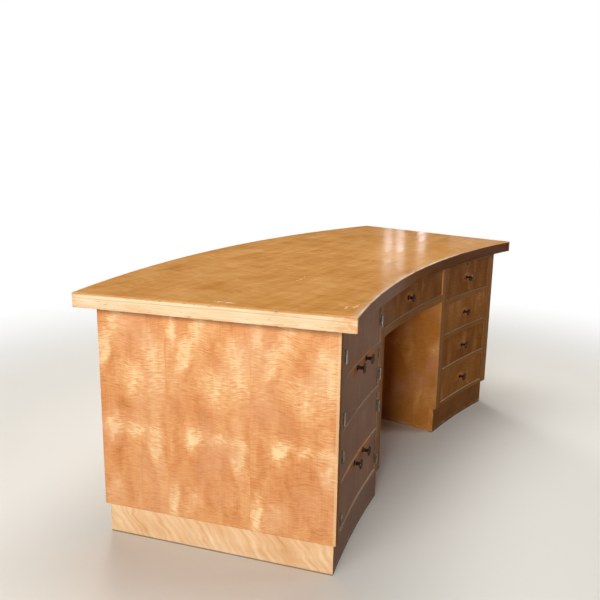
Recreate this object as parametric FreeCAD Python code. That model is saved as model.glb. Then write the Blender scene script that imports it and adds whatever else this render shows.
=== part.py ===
import FreeCAD, Part
import math
import os
from collections import namedtuple

# A curved pedestal desk, in millimetres and degrees.
# The user sits on the -Y side, in the hollow of the curve. +X is to the user's right, +Z is up.
# The origin is on the floor, under the middle of the box that holds the desk.

# Driving dimensions: the top and its two plan curves
DESK_HEIGHT = 750.0
TOP_THICKNESS = 42.0
CURVE_RADIUS = 3250.0  # of the front edge and of the back edge
TOP_DEPTH = 828.0  # front edge to back edge on the middle line
END_ANGLE = 13.4  # middle line to an end face, seen from the front curve's centre
KNEE_ANGLE = 5.1  # middle line to a side of the kneehole, likewise
FRONT_OVERHANG = 48.0
BACK_OVERHANG = 50.0
END_OVERHANG = 46.0
LIPPING = 6.0  # edge strips round the top
ARRIS_RADIUS = 3.0  # rounding of the top's edges

# Panels and face frame
SIDE_THICKNESS = 26.0
BACK_THICKNESS = 18.0
BOTTOM_THICKNESS = 16.0
FRAME_THICKNESS = 20.0  # front to back
STILE_WIDTH = 18.0
RAIL_HEIGHT = 20.0
TOP_OPENING_EXTRA = 10.0  # how much taller the top opening is than each of the three below it
CENTRE_OPENING_HEIGHT = 104.0
APRON_HEIGHT = 27.0

# Plinth
PLINTH_HEIGHT = 102.0
PLINTH_THICKNESS = 18.0
PLINTH_FRONT_RECESS = 10.0
PLINTH_END_RECESS = 19.0
PLINTH_BACK_RECESS = 5.0

# Doors and drawer fronts
FRONT_RECESS = 5.0  # behind the face frame
FRONT_THICKNESS = 18.0
FRONT_GAP = 2.0  # round a front
MEETING_GAP = 3.0  # between the two doors of a pair

# Drawer boxes and what they run on
BOX_SIDE = 12.0
BOX_BOTTOM = 6.0
BOX_BOTTOM_RAISE = 8.0
BOX_HEADROOM = 8.0
BOX_BACK_DROP = 10.0  # the back is lower than the sides
PEDESTAL_REAR_GAP = 149.0  # what a pedestal's drawer box leaves of the depth inside
CENTRE_REAR_GAP = 209.0  # what the centre drawer's box leaves of it
SLIDE_CLEARANCE = 1.0  # beside a drawer
RUN_CLEARANCE = 0.3  # under a drawer
RUNNER_LAP = 22.0  # how far a runner reaches under a drawer
GUIDE_HEIGHT = 30.0
CENTRE_GUIDE_WIDTH = 16.0

# Inside the cupboards, and what holds the top
SHELF_THICKNESS = 16.0
SHELF_SETBACK = 40.0
SHELF_GAP = 1.0
BATTEN = 16.0
BATTEN_SETBACK = 55.0
CLEAT_WIDTH = 24.0
FRONT_CLEAT_DEPTH = 40.0
STOP_WIDTH = 120.0
STOP_DEPTH = 14.0
STOP_HEIGHT = 12.0
STOP_CLEARANCE = 0.3
SCREW_RADIUS = 2.5
SCREW_HEAD_RADIUS = 5.0
SCREW_HEAD_HEIGHT = 3.0
SCREW_BITE = 25.0  # into the top
SCREW_CLEARANCE = 0.1
SCREW_SETBACKS = (90.0, 520.0)  # behind the face frame

# Butt hinges
HINGE_GAP = 2.0  # between a door and its stile, filled by the two leaves
HINGE_HEIGHT = 36.0
HINGE_KNUCKLES = 3
HINGE_LEAF_DEPTH = 15.0
HINGE_TOP_INSETS = {"upper": 50.0, "lower": 30.0}
HINGE_BOTTOM_INSET = 22.0
KNUCKLE_RADIUS = 3.5
PIN_RADIUS = 1.5
PIN_CLEARANCE = 0.05
PIN_CAP_RADIUS = 2.6
PIN_CAP_HEIGHT = 1.5
LEAF_CLEARANCE = 0.1
KNUCKLE_CLEARANCE = 0.3

# Turned knobs, the lock and its keyhole plate
KNOB_HEAD_RADIUS = 15.0
KNOB_HEAD_EDGE = 3.0
KNOB_DOME = 2.0
KNOB_STEM_RADIUS = 5.0
KNOB_BASE_RADIUS = 8.0
KNOB_BASE_HEIGHT = 2.5
KNOB_LENGTH = 24.0
KNOB_FROM_MEETING = 46.0  # on the doors
CENTRE_KNOB_OFFSET = -42.0  # from the middle line
SEAT_CLEARANCE = 0.02  # under a flat base on a curved front
KEYHOLE_PLATE_RADIUS = 7.0
KEYHOLE_PLATE_THICKNESS = 1.2
KEYHOLE_RADIUS = 1.8
KEYHOLE_SLOT_WIDTH = 1.6
KEYHOLE_SLOT_LENGTH = 4.5
KEYHOLE_DROP = 10.0  # below the top of the drawer front
LOCK_WIDTH = 50.0
LOCK_HEIGHT = 34.0
LOCK_DEPTH = 10.0
LOCK_DROP = 3.0

Vector = FreeCAD.Vector
UP = Vector(0, 0, 1)
Side = namedtuple("Side", "angle offset")

# Where the two plan curves have their centres
corner_angle = END_ANGLE + math.degrees(math.asin(END_OVERHANG / CURVE_RADIUS))
front_sag = CURVE_RADIUS * (1 - math.cos(math.radians(corner_angle)))
front_edge_y = (front_sag - TOP_DEPTH) / 2
FRONT_CENTRE = Vector(0, front_edge_y - CURVE_RADIUS, 0)
BACK_CENTRE = Vector(0, front_edge_y + TOP_DEPTH - CURVE_RADIUS, 0)


def along(angle):
    """Unit vector away from the user, turned from the middle line by an angle."""
    return Vector(math.sin(math.radians(angle)), math.cos(math.radians(angle)), 0)


def across(angle):
    """Unit vector to the user's right, square to along."""
    return Vector(math.cos(math.radians(angle)), -math.sin(math.radians(angle)), 0)


class Curve:
    """A plan arc. A side crosses it once in the desk."""

    def __init__(self, centre, radius):
        self.centre = centre
        self.radius = radius

    def meet(self, side):
        start = FRONT_CENTRE + across(side.angle) * side.offset
        from_centre = start - self.centre
        half = from_centre.dot(along(side.angle))
        rest = from_centre.dot(from_centre) - self.radius**2
        return start + along(side.angle) * (math.sqrt(half * half - rest) - half)

    def edge(self, first, last):
        middle = (first - self.centre) + (last - self.centre)
        middle.normalize()
        return Part.Arc(first, self.centre + middle * self.radius, last).toShape()


class Cross:
    """A straight plan line, square to an axis, at a distance from the front curve's centre."""

    def __init__(self, angle, distance):
        self.angle = angle
        self.distance = distance

    def meet(self, side):
        start = across(side.angle) * side.offset
        axis = along(self.angle)
        step = (self.distance - start.dot(axis)) / along(side.angle).dot(axis)
        return FRONT_CENTRE + start + along(side.angle) * step

    def edge(self, first, last):
        return Part.LineSegment(first, last).toShape()


def front_curve(setback):
    """A curve behind the face frame's front, at a setback."""
    return Curve(FRONT_CENTRE, CURVE_RADIUS + FRONT_OVERHANG + setback)


def back_curve(setback):
    """A curve inside the back panel's outer face, at a setback."""
    return Curve(BACK_CENTRE, CURVE_RADIUS - BACK_OVERHANG - setback)


# Heights. Four openings and the rails above them share what the bottom board leaves.
UNDERSIDE = DESK_HEIGHT - TOP_THICKNESS
BOTTOM_TOP = PLINTH_HEIGHT + BOTTOM_THICKNESS
OPENING_TOP = UNDERSIDE - RAIL_HEIGHT
OPENING_STEP = (UNDERSIDE - BOTTOM_TOP - TOP_OPENING_EXTRA) / 4
LOW_OPENING_HEIGHT = OPENING_STEP - RAIL_HEIGHT
OPENING_LOWS = [BOTTOM_TOP + OPENING_STEP * row for row in range(4)]
OPENING_HIGHS = [low + LOW_OPENING_HEIGHT for low in OPENING_LOWS[:3]] + [OPENING_TOP]
CENTRE_LOW = OPENING_TOP - CENTRE_OPENING_HEIGHT
RUNNER_HEIGHT = RAIL_HEIGHT  # the runners carry on from the rails
CLEAT_HEIGHT = RAIL_HEIGHT  # the cleats end level with the top rail

# Depths on the middle line, from the back of the fronts to the back panel
DEPTH_INSIDE = TOP_DEPTH - FRONT_OVERHANG - FRONT_RECESS - FRONT_THICKNESS - BACK_THICKNESS - BACK_OVERHANG
PEDESTAL_BOX_DEPTH = DEPTH_INSIDE - PEDESTAL_REAR_GAP
CENTRE_BOX_DEPTH = DEPTH_INSIDE - CENTRE_REAR_GAP

# Plan curves, from front to back
FRAME_FRONT = front_curve(0)
FRAME_BACK = front_curve(FRAME_THICKNESS)
INSET_FRONT = front_curve(FRONT_RECESS)
INSET_BACK = front_curve(FRONT_RECESS + FRONT_THICKNESS)
BACK_INNER = back_curve(BACK_THICKNESS)
BACK_OUTER = back_curve(0)

# Sides of the right pedestal, from the kneehole out. The left pedestal mirrors them.
KNEE_FACE = Side(KNEE_ANGLE, 0)
KNEE_INNER = Side(KNEE_ANGLE, SIDE_THICKNESS)
END_INNER = Side(END_ANGLE, -SIDE_THICKNESS)
END_FACE = Side(END_ANGLE, 0)
OPENING_INNER = Side(KNEE_ANGLE, SIDE_THICKNESS + STILE_WIDTH)
OPENING_OUTER = Side(END_ANGLE, -SIDE_THICKNESS - STILE_WIDTH)


def bearing(point):
    """Angle of a plan point, seen from the front curve's centre."""
    return math.degrees(math.atan2(point.x - FRONT_CENTRE.x, point.y - FRONT_CENTRE.y))


def offset_from(angle, point):
    return (point - FRONT_CENTRE).dot(across(angle))


# The drawers slide along the kneehole side, so the drawer openings end square to it
DRAWER_LEFT = OPENING_INNER.offset
DRAWER_RIGHT = offset_from(KNEE_ANGLE, FRAME_FRONT.meet(OPENING_OUTER))
DRAWER_OUTER = Side(KNEE_ANGLE, DRAWER_RIGHT)
DRAWER_MIDDLE = (DRAWER_LEFT + DRAWER_RIGHT) / 2
KNEE_HALF_WIDTH = FRAME_FRONT.meet(KNEE_FACE).x
MEETING_ANGLE = sum(bearing(FRAME_FRONT.meet(side)) for side in (OPENING_INNER, OPENING_OUTER)) / 2


def board(front, back, left, right, low, high):
    """A board between two plan lines and two sides."""
    corners = [front.meet(left), front.meet(right), back.meet(right), back.meet(left)]
    edges = [
        front.edge(corners[0], corners[1]),
        Part.LineSegment(corners[1], corners[2]).toShape(),
        back.edge(corners[2], corners[3]),
        Part.LineSegment(corners[3], corners[0]).toShape(),
    ]
    solid = Part.Face(Part.Wire(edges)).extrude(UP * (high - low))
    solid.translate(UP * low)
    return solid


def mirrored(side):
    return Side(-side.angle, -side.offset)


def pedestal_board(hand, front, back, inner, outer, low, high):
    """A board of the right pedestal (hand 1), or its mirror image in the left one (hand -1)."""
    if hand > 0:
        return board(front, back, inner, outer, low, high)
    return board(front, back, mirrored(outer), mirrored(inner), low, high)


def shifted(side, distance):
    return Side(side.angle, side.offset + distance)


def upright(radius, height, point, low):
    """A vertical cylinder."""
    return Part.makeCylinder(radius, height, Vector(point.x, point.y, low))


parts = {}


def add(name, *solids):
    parts[name] = Part.makeCompound(list(solids)) if len(solids) > 1 else solids[0]


def make_top(holes):
    """The slab, cut into its core and the strips round its edge."""
    front = Curve(FRONT_CENTRE, CURVE_RADIUS)
    back = Curve(BACK_CENTRE, CURVE_RADIUS)
    end = Side(END_ANGLE, END_OVERHANG)
    slab = board(front, back, mirrored(end), end, UNDERSIDE, DESK_HEIGHT)
    slab = slab.makeFillet(ARRIS_RADIUS, slab.Edges)
    inner_end = shifted(end, -LIPPING)
    outer_end = shifted(end, LIPPING)
    inner_front = Curve(FRONT_CENTRE, CURVE_RADIUS + LIPPING)
    inner_back = Curve(BACK_CENTRE, CURVE_RADIUS - LIPPING)
    past_front = Curve(FRONT_CENTRE, CURVE_RADIUS - LIPPING)
    past_back = Curve(BACK_CENTRE, CURVE_RADIUS + LIPPING)

    def strip(near, far, left, right):
        return slab.common(board(near, far, left, right, UNDERSIDE, DESK_HEIGHT))

    core = strip(inner_front, inner_back, mirrored(inner_end), inner_end)
    for hole in holes:
        core = core.cut(hole)
    add("top_core", core)
    add(
        "top_end_lippings",
        strip(past_front, past_back, mirrored(outer_end), mirrored(inner_end)),
        strip(past_front, past_back, inner_end, outer_end),
    )
    add(
        "top_long_lippings",
        strip(past_front, inner_front, mirrored(inner_end), inner_end),
        strip(inner_back, past_back, mirrored(inner_end), inner_end),
    )


def make_panels(hand, name):
    """End panel, kneehole panel, bottom board and plinth of one pedestal."""
    add(name + "_end_panel", pedestal_board(hand, FRAME_FRONT, BACK_INNER, END_INNER, END_FACE,
                                            PLINTH_HEIGHT, UNDERSIDE))
    toe_back = front_curve(PLINTH_FRONT_RECESS + PLINTH_THICKNESS)
    heel_front = back_curve(PLINTH_BACK_RECESS + PLINTH_THICKNESS)
    knee_panel = pedestal_board(hand, FRAME_FRONT, BACK_INNER, KNEE_FACE, KNEE_INNER,
                                PLINTH_HEIGHT, UNDERSIDE)
    knee_foot = pedestal_board(hand, toe_back, heel_front, KNEE_FACE, KNEE_INNER, 0, PLINTH_HEIGHT)
    add(name + "_kneehole_panel", knee_panel.fuse(knee_foot).removeSplitter())
    add(name + "_bottom_board", pedestal_board(hand, FRAME_BACK, BACK_INNER, KNEE_INNER, END_INNER,
                                               PLINTH_HEIGHT, BOTTOM_TOP))
    plinth_end = shifted(END_FACE, -PLINTH_END_RECESS)
    plinth_inner = shifted(plinth_end, -PLINTH_THICKNESS)
    toe_front = front_curve(PLINTH_FRONT_RECESS)
    heel_back = back_curve(PLINTH_BACK_RECESS)
    add(
        name + "_plinth",
        pedestal_board(hand, toe_front, toe_back, KNEE_FACE, plinth_end, 0, PLINTH_HEIGHT),
        pedestal_board(hand, toe_back, heel_front, plinth_inner, plinth_end, 0, PLINTH_HEIGHT),
        pedestal_board(hand, heel_front, heel_back, KNEE_FACE, plinth_end, 0, PLINTH_HEIGHT),
    )


def make_frame(hand, name, opening_outer, rail_lows):
    """Stiles and rails of one pedestal's face frame."""
    add(
        name + "_stiles",
        pedestal_board(hand, FRAME_FRONT, FRAME_BACK, KNEE_INNER, OPENING_INNER, PLINTH_HEIGHT, UNDERSIDE),
        pedestal_board(hand, FRAME_FRONT, FRAME_BACK, opening_outer, END_INNER, PLINTH_HEIGHT, UNDERSIDE),
    )

    def rail(low, high):
        return pedestal_board(hand, FRAME_FRONT, FRAME_BACK, OPENING_INNER, opening_outer, low, high)

    rails = [rail(PLINTH_HEIGHT, BOTTOM_TOP)]
    for low in rail_lows:
        rails.append(rail(low, low + RAIL_HEIGHT))
    add(name + "_rails", *rails)


def make_centre():
    """Rails over the kneehole, runners and guides of the centre drawer, and the back panel."""
    left_knee = mirrored(KNEE_FACE)
    add(
        "centre_rails",
        board(FRAME_FRONT, FRAME_BACK, left_knee, KNEE_FACE, CENTRE_LOW - APRON_HEIGHT, CENTRE_LOW),
        board(FRAME_FRONT, FRAME_BACK, left_knee, KNEE_FACE, OPENING_TOP, UNDERSIDE),
    )
    guide_face = Side(0, KNEE_HALF_WIDTH - CENTRE_GUIDE_WIDTH)
    runner_edge = shifted(guide_face, -RUNNER_LAP)
    guide_front = front_curve(FRONT_RECESS + FRONT_THICKNESS + SLIDE_CLEARANCE)
    strips = []
    for hand in (-1, 1):
        strips.append(pedestal_board(hand, FRAME_BACK, BACK_INNER, runner_edge, KNEE_FACE,
                                     CENTRE_LOW - RUNNER_HEIGHT, CENTRE_LOW))
        strips.append(pedestal_board(hand, guide_front, BACK_INNER, guide_face, KNEE_FACE,
                                     CENTRE_LOW, CENTRE_LOW + GUIDE_HEIGHT))
    add("centre_runners", *strips)
    add("back_panel", board(BACK_INNER, BACK_OUTER, mirrored(END_FACE), END_FACE, PLINTH_HEIGHT, UNDERSIDE))


def make_runners():
    """Runners under the upper three drawers of the right pedestal, and guides beside all four."""
    left_lap = Side(KNEE_ANGLE, DRAWER_LEFT + RUNNER_LAP)
    right_lap = Side(KNEE_ANGLE, DRAWER_RIGHT - RUNNER_LAP)
    right_edge = Side(KNEE_ANGLE, DRAWER_RIGHT + STILE_WIDTH)
    strips = []
    for row, low in enumerate(OPENING_LOWS):
        if row > 0:
            strips.append(board(FRAME_BACK, BACK_INNER, KNEE_INNER, left_lap, low - RUNNER_HEIGHT, low))
            strips.append(board(FRAME_BACK, BACK_INNER, right_lap, right_edge, low - RUNNER_HEIGHT, low))
        strips.append(board(FRAME_BACK, BACK_INNER, KNEE_INNER, OPENING_INNER, low, low + GUIDE_HEIGHT))
        strips.append(board(FRAME_BACK, BACK_INNER, DRAWER_OUTER, right_edge, low, low + GUIDE_HEIGHT))
    add("drawer_runners", *strips)


def make_cupboard():
    """Divider, shelves, battens and door stops of the left pedestal."""
    divider_low = OPENING_HIGHS[1]
    divider_high = OPENING_LOWS[2]
    add("cupboard_divider", pedestal_board(-1, FRAME_BACK, BACK_INNER, KNEE_INNER, END_INNER,
                                           divider_low, divider_high))
    shelf_front = front_curve(FRAME_THICKNESS + SHELF_SETBACK)
    batten_front = front_curve(FRAME_THICKNESS + BATTEN_SETBACK)
    shelves = []
    battens = []
    for row in (0, 2):
        low = (OPENING_HIGHS[row] + OPENING_LOWS[row + 1] - SHELF_THICKNESS) / 2
        shelves.append(pedestal_board(-1, shelf_front, BACK_INNER, shifted(KNEE_INNER, SHELF_GAP),
                                      shifted(END_INNER, -SHELF_GAP), low, low + SHELF_THICKNESS))
        battens.append(pedestal_board(-1, batten_front, BACK_INNER, KNEE_INNER, shifted(KNEE_INNER, BATTEN),
                                      low - BATTEN, low))
        battens.append(pedestal_board(-1, batten_front, BACK_INNER, shifted(END_INNER, -BATTEN), END_INNER,
                                      low - BATTEN, low))
    add("cupboard_shelves", *shelves)
    add("shelf_battens", *battens)
    stop_front = front_curve(FRONT_RECESS + FRONT_THICKNESS + STOP_CLEARANCE)
    stop_back = front_curve(FRONT_RECESS + FRONT_THICKNESS + STOP_CLEARANCE + STOP_DEPTH)
    stops = []
    for ceiling in (divider_low, UNDERSIDE - CLEAT_HEIGHT):
        stops.append(pedestal_board(-1, stop_front, stop_back, Side(MEETING_ANGLE, -STOP_WIDTH / 2),
                                    Side(MEETING_ANGLE, STOP_WIDTH / 2), ceiling - STOP_HEIGHT, ceiling))
    add("door_stops", *stops)


def make_cleats():
    """Cleats under the top, with the screws that hold it down. Gives back the holes for the top."""
    inner_cleat = shifted(KNEE_INNER, CLEAT_WIDTH)
    outer_cleat = shifted(END_INNER, -CLEAT_WIDTH)
    cleat_low = UNDERSIDE - CLEAT_HEIGHT
    front_cleat_back = front_curve(FRAME_THICKNESS + FRONT_CLEAT_DEPTH)
    cleats = []
    screws = []
    holes = []
    for hand in (-1, 1):
        cleats.append(pedestal_board(hand, FRAME_BACK, front_cleat_back, inner_cleat, outer_cleat,
                                     cleat_low, UNDERSIDE))
        for inner, outer in ((KNEE_INNER, inner_cleat), (outer_cleat, END_INNER)):
            cleat = pedestal_board(hand, FRAME_BACK, BACK_INNER, inner, outer, cleat_low, UNDERSIDE)
            middle = Side(inner.angle, (inner.offset + outer.offset) / 2)
            if hand < 0:
                middle = mirrored(middle)
            for setback in SCREW_SETBACKS:
                point = front_curve(FRAME_THICKNESS + setback).meet(middle)
                head = upright(SCREW_HEAD_RADIUS, SCREW_HEAD_HEIGHT, point, cleat_low - SCREW_HEAD_HEIGHT)
                shank_length = CLEAT_HEIGHT + SCREW_BITE
                shank = upright(SCREW_RADIUS, shank_length, point, cleat_low)
                screws.append(head.fuse(shank).removeSplitter())
                hole_length = shank_length + SCREW_CLEARANCE
                hole = upright(SCREW_RADIUS + SCREW_CLEARANCE, hole_length, point, cleat_low)
                cleat = cleat.cut(hole)
                holes.append(hole)
            cleats.append(cleat)
    add("top_cleats", *cleats)
    add("top_screws", *screws)
    return holes


def make_knob(point, height):
    """A turned knob that stands square on the curved front at a plan point."""
    neck = KNOB_LENGTH - KNOB_DOME - KNOB_HEAD_EDGE
    rim = KNOB_HEAD_EDGE / 2
    shoulder = KNOB_BASE_RADIUS - KNOB_STEM_RADIUS
    profile = [
        Vector(0, 0, 0),
        Vector(KNOB_BASE_RADIUS, 0, 0),
        Vector(KNOB_BASE_RADIUS, 0, KNOB_BASE_HEIGHT),
        Vector(KNOB_STEM_RADIUS, 0, KNOB_BASE_HEIGHT + shoulder),
        Vector(KNOB_STEM_RADIUS, 0, neck - rim),
        Vector(KNOB_HEAD_RADIUS - rim, 0, neck),
        Vector(KNOB_HEAD_RADIUS - rim, 0, neck + KNOB_HEAD_EDGE),
        Vector(0, 0, KNOB_LENGTH),
    ]
    cove = shoulder * (1 - math.sqrt(0.5))
    cove_middle = Vector(KNOB_STEM_RADIUS + cove, 0, KNOB_BASE_HEIGHT + cove)
    rim_middle = Vector(KNOB_HEAD_RADIUS, 0, neck + rim)
    lines = [Part.LineSegment(a, b).toShape() for a, b in zip(profile, profile[1:] + profile[:1])]
    lines[2] = Part.Arc(profile[2], cove_middle, profile[3]).toShape()
    lines[5] = Part.Arc(profile[5], rim_middle, profile[6]).toShape()
    knob = Part.Face(Part.Wire(lines)).revolve(Vector(0, 0, 0), UP, 360)
    return seat_on_front(knob, point, height)


def seat_on_front(piece, point, height):
    """Turns a piece made along +Z towards the user, and seats it on a curved front at a plan point."""
    piece.rotate(Vector(0, 0, 0), Vector(1, 0, 0), 90)
    piece.rotate(Vector(0, 0, 0), UP, -bearing(point))
    piece.translate(point - along(bearing(point)) * SEAT_CLEARANCE + UP * height)
    return piece


def hinge_leaf(door_side, knuckles, low):
    """One leaf with its knuckles, in its own frame: the pin is at 0, 0 and +Y runs into the desk."""
    standoff = KNUCKLE_RADIUS + KNUCKLE_CLEARANCE
    thickness = HINGE_GAP / 2 - LEAF_CLEARANCE
    leaf_x = LEAF_CLEARANCE if door_side > 0 else -HINGE_GAP / 2
    neck_start = PIN_RADIUS + KNUCKLE_CLEARANCE
    knuckle_height = HINGE_HEIGHT / HINGE_KNUCKLES
    leaf = Part.makeBox(thickness, HINGE_LEAF_DEPTH, HINGE_HEIGHT, Vector(leaf_x, standoff, low))
    for knuckle in knuckles:
        bottom = low + knuckle * knuckle_height + LEAF_CLEARANCE
        height = knuckle_height - 2 * LEAF_CLEARANCE
        neck_corner = Vector(leaf_x, neck_start, bottom)
        leaf = leaf.fuse(Part.makeBox(thickness, standoff - neck_start, height, neck_corner))
        leaf = leaf.fuse(upright(KNUCKLE_RADIUS, height, Vector(), bottom))
    leaf = leaf.cut(upright(PIN_RADIUS + PIN_CLEARANCE, HINGE_HEIGHT, Vector(), low))
    return leaf.removeSplitter()


def hinge_pin(low):
    """A pin in the same frame as a leaf, with buttons that seat on the outer knuckles."""
    seat = low + LEAF_CLEARANCE
    length = HINGE_HEIGHT - 2 * LEAF_CLEARANCE
    pin = upright(PIN_RADIUS, length, Vector(), seat)
    pin = pin.fuse(upright(PIN_CAP_RADIUS, PIN_CAP_HEIGHT, Vector(), seat + length))
    pin = pin.fuse(upright(PIN_CAP_RADIUS, PIN_CAP_HEIGHT, Vector(), seat - PIN_CAP_HEIGHT))
    return pin.removeSplitter()


def hinge_line(place):
    """The side along which a door's hinges lie, in the left pedestal."""
    if place == "outer":
        return mirrored(shifted(OPENING_OUTER, -HINGE_GAP / 2))
    return mirrored(shifted(OPENING_INNER, HINGE_GAP / 2))


def hinge_axis(place):
    """Plan point of a door's hinge pins."""
    return front_curve(-KNUCKLE_RADIUS - KNUCKLE_CLEARANCE).meet(hinge_line(place))


def make_doors():
    """Four doors of the left pedestal, in two pairs, with their middle rails, knobs and hinges."""
    frame_leaves = []
    pins = []
    outer_knuckles = range(0, HINGE_KNUCKLES, 2)
    middle_knuckles = range(1, HINGE_KNUCKLES, 2)
    for level, row in (("lower", 0), ("upper", 2)):
        low = OPENING_LOWS[row]
        high = OPENING_HIGHS[row + 1]
        rail_low = OPENING_HIGHS[row]
        rail_high = OPENING_LOWS[row + 1]
        for place in ("outer", "inner"):
            name = level + "_" + place + "_door"
            if place == "outer":
                sides = (Side(MEETING_ANGLE, MEETING_GAP / 2), shifted(OPENING_OUTER, -HINGE_GAP))
                knob_side = Side(-MEETING_ANGLE, -KNOB_FROM_MEETING)
                door_side = 1
            else:
                sides = (shifted(OPENING_INNER, HINGE_GAP), Side(MEETING_ANGLE, -MEETING_GAP / 2))
                knob_side = Side(-MEETING_ANGLE, KNOB_FROM_MEETING)
                door_side = -1
            add(name + "_panel", pedestal_board(-1, INSET_FRONT, INSET_BACK, *sides,
                                                low + FRONT_GAP, high - FRONT_GAP))
            add(name + "_rail", pedestal_board(-1, FRAME_FRONT, INSET_FRONT, *sides, rail_low, rail_high))
            add(name + "_knob", make_knob(FRAME_FRONT.meet(knob_side), (rail_low + rail_high) / 2))
            axis = hinge_axis(place)
            turn = -hinge_line(place).angle
            door_leaves = []
            for hinge_low in (low + HINGE_BOTTOM_INSET, high - HINGE_TOP_INSETS[level] - HINGE_HEIGHT):
                door_leaf = hinge_leaf(door_side, middle_knuckles, hinge_low)
                frame_leaf = hinge_leaf(-door_side, outer_knuckles, hinge_low)
                pin = hinge_pin(hinge_low)
                for piece in (door_leaf, frame_leaf, pin):
                    piece.rotate(Vector(0, 0, 0), UP, turn)
                    piece.translate(axis)
                door_leaves.append(door_leaf)
                frame_leaves.append(frame_leaf)
                pins.append(pin)
            add(name + "_hinge_leaves", *door_leaves)
    add("hinge_frame_leaves", *frame_leaves)
    add("hinge_pins", *pins)


def make_drawer(name, axis, opening, guides, low, high, depth, knob_offset):
    """A curved front, a box that runs between two guide faces, and a knob."""
    add(name + "_front", board(INSET_FRONT, INSET_BACK, Side(axis, opening[0] + FRONT_GAP),
                               Side(axis, opening[1] - FRONT_GAP), low + FRONT_GAP, high - FRONT_GAP))
    left = Side(axis, guides[0] + SLIDE_CLEARANCE)
    right = Side(axis, guides[1] - SLIDE_CLEARANCE)
    left_inner = shifted(left, BOX_SIDE)
    right_inner = shifted(right, -BOX_SIDE)
    middle = Side(axis, (guides[0] + guides[1]) / 2)
    rear_distance = (INSET_BACK.meet(middle) - FRONT_CENTRE).dot(along(axis)) + depth
    rear = Cross(axis, rear_distance)
    back_front = Cross(axis, rear_distance - BOX_SIDE)
    base = low + RUN_CLEARANCE
    rim = high - BOX_HEADROOM
    floor_low = base + BOX_BOTTOM_RAISE
    floor_high = floor_low + BOX_BOTTOM
    add(
        name + "_box",
        board(INSET_BACK, rear, left, left_inner, base, rim),
        board(INSET_BACK, rear, right_inner, right, base, rim),
        board(INSET_BACK, rear, left_inner, right_inner, floor_low, floor_high),
        board(back_front, rear, left_inner, right_inner, floor_high, rim - BOX_BACK_DROP),
    )
    add(name + "_knob", make_knob(INSET_FRONT.meet(Side(axis, knob_offset)), (low + high) / 2))


def make_drawers():
    """Four drawers of the right pedestal, counted from the top, and the one over the kneehole."""
    pedestal_span = (DRAWER_LEFT, DRAWER_RIGHT)
    for row, low in enumerate(OPENING_LOWS):
        name = "drawer_" + str(len(OPENING_LOWS) - row)
        make_drawer(name, KNEE_ANGLE, pedestal_span, pedestal_span, low, OPENING_HIGHS[row],
                    PEDESTAL_BOX_DEPTH, DRAWER_MIDDLE)
    guide = KNEE_HALF_WIDTH - CENTRE_GUIDE_WIDTH
    make_drawer("centre_drawer", 0, (-KNEE_HALF_WIDTH, KNEE_HALF_WIDTH), (-guide, guide), CENTRE_LOW,
                OPENING_TOP, CENTRE_BOX_DEPTH, CENTRE_KNOB_OFFSET)


def make_lock():
    """Lock behind the top drawer's front, and the keyhole plate on its face."""
    front_top = OPENING_TOP - FRONT_GAP
    lock_top = front_top - LOCK_DROP
    lock_back = front_curve(FRONT_RECESS + FRONT_THICKNESS + LOCK_DEPTH)
    lock_left = Side(KNEE_ANGLE, DRAWER_MIDDLE - LOCK_WIDTH / 2)
    lock_right = Side(KNEE_ANGLE, DRAWER_MIDDLE + LOCK_WIDTH / 2)
    lock_low = lock_top - LOCK_HEIGHT
    add("drawer_1_lock", board(INSET_BACK, lock_back, lock_left, lock_right, lock_low, lock_top))
    plate = Part.makeCylinder(KEYHOLE_PLATE_RADIUS, KEYHOLE_PLATE_THICKNESS)
    plate = plate.cut(Part.makeCylinder(KEYHOLE_RADIUS, KEYHOLE_PLATE_THICKNESS))
    slot_corner = Vector(-KEYHOLE_SLOT_WIDTH / 2, -KEYHOLE_SLOT_LENGTH, 0)
    slot_size = (KEYHOLE_SLOT_WIDTH, KEYHOLE_SLOT_LENGTH, KEYHOLE_PLATE_THICKNESS)
    plate = plate.cut(Part.makeBox(*slot_size, slot_corner))
    point = INSET_FRONT.meet(Side(KNEE_ANGLE, DRAWER_MIDDLE))
    add("drawer_1_keyhole_plate", seat_on_front(plate, point, front_top - KEYHOLE_DROP))


make_top(make_cleats())
make_panels(-1, "left")
make_panels(1, "right")
make_frame(-1, "left", OPENING_OUTER, [OPENING_HIGHS[1], OPENING_TOP])
make_frame(1, "right", DRAWER_OUTER, OPENING_HIGHS)
make_centre()
make_runners()
make_cupboard()
make_doors()
make_drawers()
make_lock()

os.makedirs("parts", exist_ok=True)
for node, shape in parts.items():
    shape.exportStep("parts/" + node + ".step")
print(len(parts), "nodes,", sum(len(shape.Solids) for shape in parts.values()), "solids")
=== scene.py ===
import math

import bpy
from mathutils import Matrix, Vector


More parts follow.
